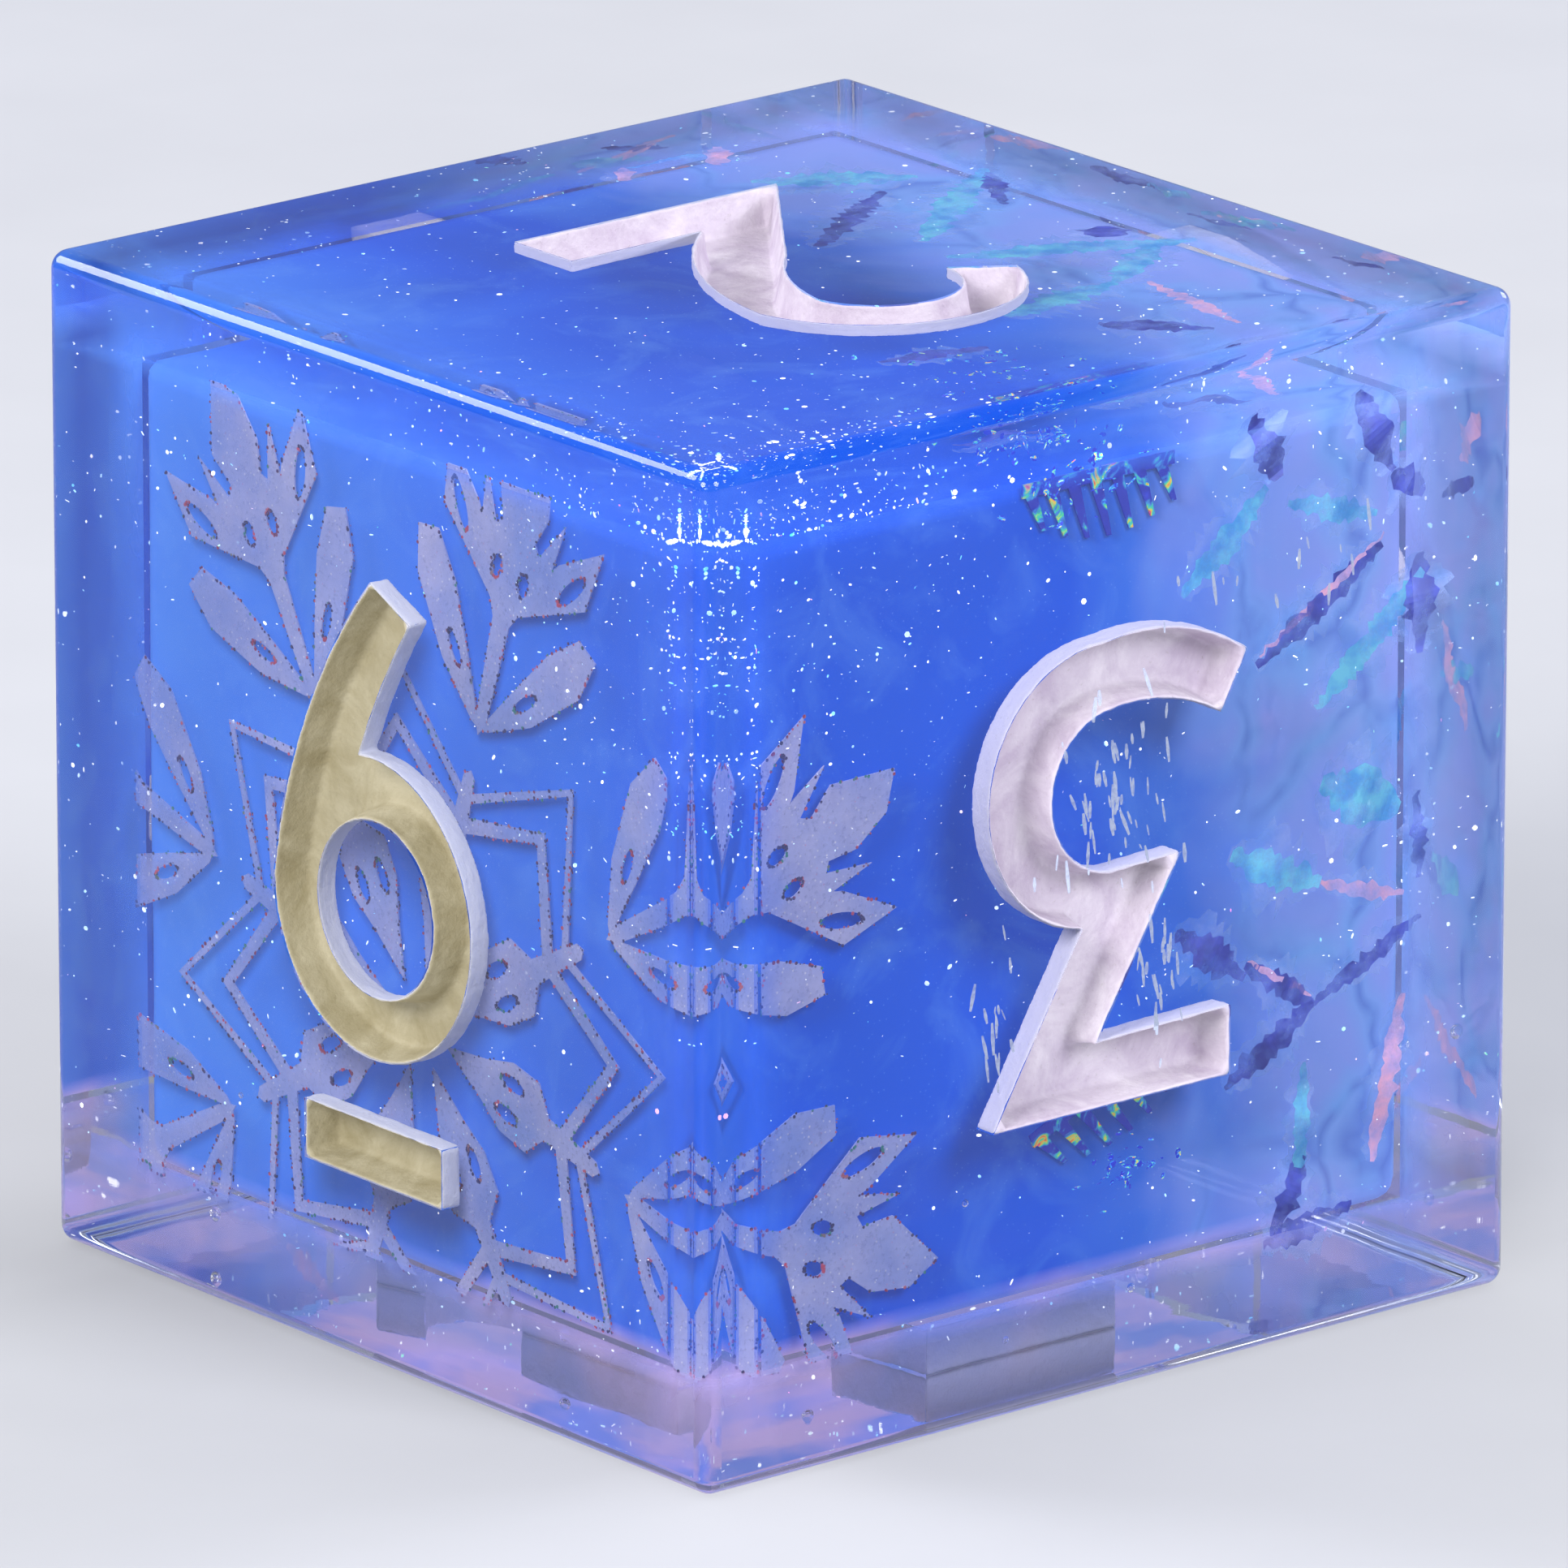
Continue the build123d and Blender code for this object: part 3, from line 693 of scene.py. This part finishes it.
# Foil creases that show in a face, in mm from its middle: across and up at one end, across
# and up at the other, and the greatest half width.
FRONT_CREASES = {
    "navy": ((3.25, 6.7, 3.75, 5.6, 0.3), (5.35, 6.7, 6.05, 5.3, 0.26), (6.05, 5.3, 6.7, 4.85, 0.24),
             (3.35, 2.7, 5.85, 4.2, 0.22), (6.6, 3.9, 6.65, 2.3, 0.3), (1.75, -1.2, 3.15, -2.2, 0.28),
             (3.15, -2.0, 4.55, -2.9, 0.2), (4.55, -2.9, 6.7, -1.9, 0.16),
             (2.75, -3.9, 4.55, -2.9, 0.24), (6.6, 0.1, 6.65, -1.3, 0.16),
             (3.75, -6.5, 4.35, -5.3, 0.3), (3.55, -6.6, 5.35, -6.3, 0.24)),
    "cyan": ((1.85, 4.1, 3.55, 5.5, 0.24), (3.95, 5.2, 5.75, 4.7, 0.2), (4.55, 1.8, 6.7, 3.6, 0.26),
             (4.65, 0.6, 6.25, -0.1, 0.42), (2.85, -0.2, 4.65, -1.0, 0.32),
             (4.35, -3.8, 4.25, -5.8, 0.16)),
    "lilac": ((4.65, -1.0, 6.35, -1.5, 0.14), (6.35, -3.1, 5.75, -5.7, 0.2),
              (3.4, 2.85, 5.9, 4.35, 0.07), (3.2, -1.95, 4.5, -2.75, 0.07)),
}
TOP_CREASES = {
    "navy": ((1.84, 1.3, 4.64, 3.1, 0.26), (2.4, -4.7, 3.6, -6.0, 0.3), (5.6, 1.3, 6.6, 2.9, 0.2),
             (5.6, -1.1, 6.0, -0.6, 0.4), (-1.5, -4.2, 0.3, -4.6, 0.2)),
    "cyan": ((3.3, 0.5, 6.7, 3.1, 0.3), (3.0, -0.4, 6.6, -2.1, 0.34), (1.6, -3.5, 4.1, -3.1, 0.34),
             (4.1, -3.1, 6.1, -1.8, 0.3), (3.4, 4.8, 5.6, 3.4, 0.4)),
    "lilac": ((4.5, -3.4, 4.1, -6.0, 0.16), (1.9, 6.1, 2.4, 6.7, 0.2), (3.6, 5.9, 4.3, 6.7, 0.24)),
}
CREASE_COLOURS = {
    "navy": (srgb(22, 36, 146), srgb(58, 76, 194)),
    "cyan": (srgb(60, 150, 224), srgb(104, 200, 236)),
    "lilac": (srgb(176, 158, 222), srgb(236, 176, 214)),
}


def crease_strip(bm, face, start, end, half_width, draw, sink=0.0):
    """A ragged strip that narrows to both ends, just under a core face."""
    outward, rightward = (Vector(v) for v in face)
    upward = outward.cross(rightward)
    steps = max(6, int((Vector(end) - Vector(start)).length / CREASE_STEP))
    line = Vector(end) - Vector(start)
    side = Vector((-line.y, line.x)).normalized()
    previous = None
    for step in range(steps + 1):
        share = step / steps
        half = half_width * (0.25 + 0.75 * math.sin(math.pi * share)) * draw.uniform(0.55, 1.25)
        spot = Vector(start) + line * share + side * draw.gauss(0, 0.02)
        depth = CORE / 2 - (CREASE_DEPTH + sink + 0.05 * math.sin(9 * share)) * MM
        pair = []
        for edge in (spot - side * half, spot + side * half):
            where = MIDDLE + outward * depth + (rightward * edge.x + upward * edge.y) * MM
            pair.append(bm.verts.new(where))
        if previous:
            bm.faces.new((previous[0], previous[1], pair[1], pair[0]))
        previous = pair


def creases():
    """Foil creases just under the core's faces, each with a wider painted sheen under it.

    The tables place those on the front and the top. The right and the back are not in the
    photograph, so their creases are random.
    """
    draw = random.Random(CREASE_SEED)
    front, top = ((0, -1, 0), (1, 0, 0)), ((0, 0, 1), (1, 0, 0))
    right, back = ((1, 0, 0), (0, 1, 0)), ((0, 1, 0), (-1, 0, 0))
    halo = bmesh.new()
    for tone, (deep, bright) in CREASE_COLOURS.items():
        bm = bmesh.new()
        for face, strips in ((front, FRONT_CREASES[tone]), (top, TOP_CREASES[tone])):
            for x0, y0, x1, y1, half_width in strips:
                ends = (x0, y0), (x1, y1)
                crease_strip(bm, face, *ends, half_width, draw)
                crease_strip(halo, face, *ends, half_width * SHEEN_WIDTH, draw, sink=SHEEN_SINK)
        for face, low, high in ((right, -CREASE_START, CREASE_START), (back, -CREASE_START, -1.0)):
            for _ in range(RANDOM_CREASES):
                start = Vector((draw.uniform(low, high), draw.uniform(-CREASE_START, CREASE_START)))
                end = start + Vector((draw.uniform(0.8, 2.6), draw.uniform(-1.6, 1.6)))
                end = (min(end.x, CREASE_REACH), min(max(end.y, -CREASE_REACH), CREASE_REACH))
                crease_strip(bm, face, start, end, draw.uniform(0.12, 0.35), draw)
        piece = finished(f"{tone}_creases", bm, crease_material(f"{tone}_crease", deep, bright, 1.0),
                         lets_light_by=True)
    # Painted sheen: paler blue strips under the creases, faded to 0.42.
    sheen = crease_material("crease_sheen", srgb(96, 150, 230), srgb(150, 176, 240), 0.42)
    piece = finished("crease_sheen", halo, sheen, lets_light_by=True)


def glitter():
    """Fine glitter in the core's clear skin and just above it, thickest at the near corner."""
    draw = random.Random(GLITTER_SEED)
    outer = CORE / 2 + GLITTER_ABOVE
    inner = CORE / 2 - CLEAR_SKIN + GLITTER_BELOW
    # The third value is a painted glow, for the flakes' glints.
    kinds = (("glitter_white", srgb(235, 245, 255), 0.9, 1400),
             ("glitter_cyan", srgb(110, 210, 250), 0.8, 1400),
             ("glitter_green", srgb(80, 240, 190), 0.7, 90),
             ("glitter_pink", srgb(250, 150, 225), 0.7, 90))
    for name, colour, glow, count in kinds:
        bm = bmesh.new()
        for _ in range(count):
            axis = draw.randrange(3)
            spot = [draw.uniform(-1, 1) * inner for _ in range(3)]
            side = draw.choice((-1, 1))
            if draw.random() < CORNER_SHARE:
                spot = [min(max(draw.gauss(at, CORNER_SPREAD), -1), 1) * inner
                        for at in NEAR_CORNER]
                side = (-1, -1, 1)[axis]
            spot[axis] = side * draw.uniform(inner, outer)
            size = GLITTER_SIZE * MM + draw.expovariate(1 / GLITTER_SIZE) * MM
            flake(bm, MIDDLE + Vector(spot), min(size, GLITTER_LARGEST), random_turn(draw))
        piece = finished(name, bm, glitter_material(name, colour, glow), lets_light_by=True)
        if name == "glitter_white":
            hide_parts("glitter")


def shred_sparkles():
    """Painted glints of every colour on the fringed shreds: small flakes that glow."""
    draw = random.Random(SPARKLE_SEED)
    groups = (((-0.1, -6.85, 6.35), (0.75, 0.04, 0.3), 46), ((0.75, -6.85, -4.75), (0.4, 0.04, 0.22), 40),
              ((-0.6, -5.4, 6.85), (0.7, 0.6, 0.03), 46))
    bm = bmesh.new()
    for middle, spread, count in groups:
        for _ in range(count):
            spot = [draw.gauss(at, reach) for at, reach in zip(middle, spread)]
            spot = [min(max(at, -SPARKLE_REACH), SPARKLE_REACH) * MM for at in spot]
            turn = random_turn(draw) @ Matrix.Diagonal((draw.uniform(1, 2.4), 1, 1))
            flake(bm, MIDDLE + Vector(spot), draw.uniform(0.02, 0.07) * MM, turn)
    piece = finished("shred_sparkles", bm, shred_foil("shred_sparkle", 9.0, 0.7), lets_light_by=True)


def bubbles():
    """Small air bubbles half way between the core's faces and the die's."""
    draw = random.Random(BUBBLE_SEED)
    bm = bmesh.new()
    depth = (DIE + CORE) / 4
    for _ in range(BUBBLES):
        axis = draw.randrange(3)
        spot = [draw.uniform(-BUBBLE_SPREAD, BUBBLE_SPREAD) * DIE for _ in range(3)]
        spot[axis] = draw.choice((-1, 1)) * depth
        place = Matrix.Translation(MIDDLE + Vector(spot))
        bmesh.ops.create_icosphere(bm, subdivisions=3, radius=draw.uniform(0.04, 0.13) * MM,
                                   matrix=place)
    piece = finished("air_bubbles", bm, air(), smooth_angle=60, lets_light_by=True)


# -------------------------------------------------------------------- stage

def studio():
    """A pale floor, four soft boxes and a soft sky."""
    scene = bpy.context.scene
    bm = bmesh.new()
    bmesh.ops.create_grid(bm, x_segments=1, y_segments=1, size=FLOOR_HALF)
    mesh = bpy.data.meshes.new("floor")
    bm.to_mesh(mesh)
    bm.free()
    floor = bpy.data.objects.new("floor", mesh)
    scene.collection.objects.link(floor)
    floor.location.z = -FLOOR_CLEAR
    mesh.materials.append(floor_material())

    def soft_box(name, azimuth, elevation, power, colour):
        light = bpy.data.lights.new(name, "AREA")
        light.shape = "DISK"
        light.size = LAMP_WIDTH
        light.energy = power
        light.color = colour
        lamp = bpy.data.objects.new(name, light)
        scene.collection.objects.link(lamp)
        away = direction(azimuth, elevation)
        lamp.location = MIDDLE + away * LAMP_AWAY
        lamp.rotation_euler = away.to_track_quat("Z", "Y").to_euler()

    soft_box("key", -70, 32, 0.72, (1.0, 0.98, 0.96))
    soft_box("fill", 15, 30, 0.52, (0.95, 0.96, 1.0))
    soft_box("side", 82, 30, 0.40, (0.93, 0.93, 1.0))
    soft_box("back", 205, 30, 0.45, (0.93, 0.93, 1.0))

    world = bpy.data.worlds.new("studio")
    scene.world = world
    world.use_nodes = True
    sky = world.node_tree.nodes["Background"]
    sky.inputs["Color"].default_value = (0.70, 0.73, 0.80, 1)
    sky.inputs["Strength"].default_value = 0.4


def camera():
    """A long lens at the photograph's viewing angle."""
    back = direction(VIEW_AZIMUTH, VIEW_ELEVATION)
    azimuth = math.radians(VIEW_AZIMUTH)
    right = Vector((math.cos(azimuth), math.sin(azimuth), 0))
    up = back.cross(right)
    aim = MIDDLE + right * AIM_RIGHT * MM - up * AIM_DOWN * MM
    lens = bpy.data.cameras.new("camera")
    lens.lens = LENS
    lens.sensor_width = 36
    lens.clip_start = 0.01
    eye = bpy.data.objects.new("camera", lens)
    eye.location = aim + back * VIEW_DISTANCE * MM
    eye.rotation_euler = back.to_track_quat("Z", "Y").to_euler()
    bpy.context.scene.collection.objects.link(eye)
    bpy.context.scene.camera = eye


def look():
    """Plain colours, and enough bounces for resin inside resin."""
    scene = bpy.context.scene
    scene.view_settings.view_transform = "Standard"
    scene.cycles.use_denoising = True
    scene.cycles.transparent_max_bounces = 10
    scene.cycles.max_bounces = 7
    scene.cycles.transmission_bounces = 7
    scene.cycles.diffuse_bounces = 1
    scene.cycles.glossy_bounces = 3
    scene.cycles.caustics_reflective = False
    scene.cycles.caustics_refractive = False
    scene.cycles.sample_clamp_indirect = 4.0


camera()
studio()
look()
casting_skin()
core_body()
milky_halo()
cream = numeral_paint("cream_paint", srgb(214, 216, 232), srgb(190, 182, 154), srgb(160, 150, 118))
white = numeral_paint("white_paint", srgb(214, 212, 236), srgb(222, 214, 226), srgb(188, 174, 196))
FACES = {1: (1, 0, 0), 2: (0, 0, 1), 3: (0, -1, 0), 4: (0, 1, 0), 5: (0, 0, -1), 6: (-1, 0, 0)}
casting = cad_mesh("clear_casting")
resin = BVHTree.FromBMesh(casting)
casting.free()
for number, outward in FACES.items():
    paint(f"numeral_paint_{number}", outward, resin, cream if number == 6 else white)
paint("underline_paint_6", FACES[6], resin, cream)
film = printed_film()
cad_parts["snowflake_film"].data.materials.clear()
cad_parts["snowflake_film"].data.materials.append(film)
foil = iridescent_foil()
for number in range(1, 5):
    crumpled_foil(f"foil_sheet_{number}", number, foil)
shreds = shred_foil("shred_foil", 2.4, 0.12)
for node in ("fringed_shred_upper", "fringed_shred_lower"):
    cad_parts[node].material_slots[0].material = shreds
film_edges()
creases()
smears()
glitter()
shred_sparkles()
bubbles()
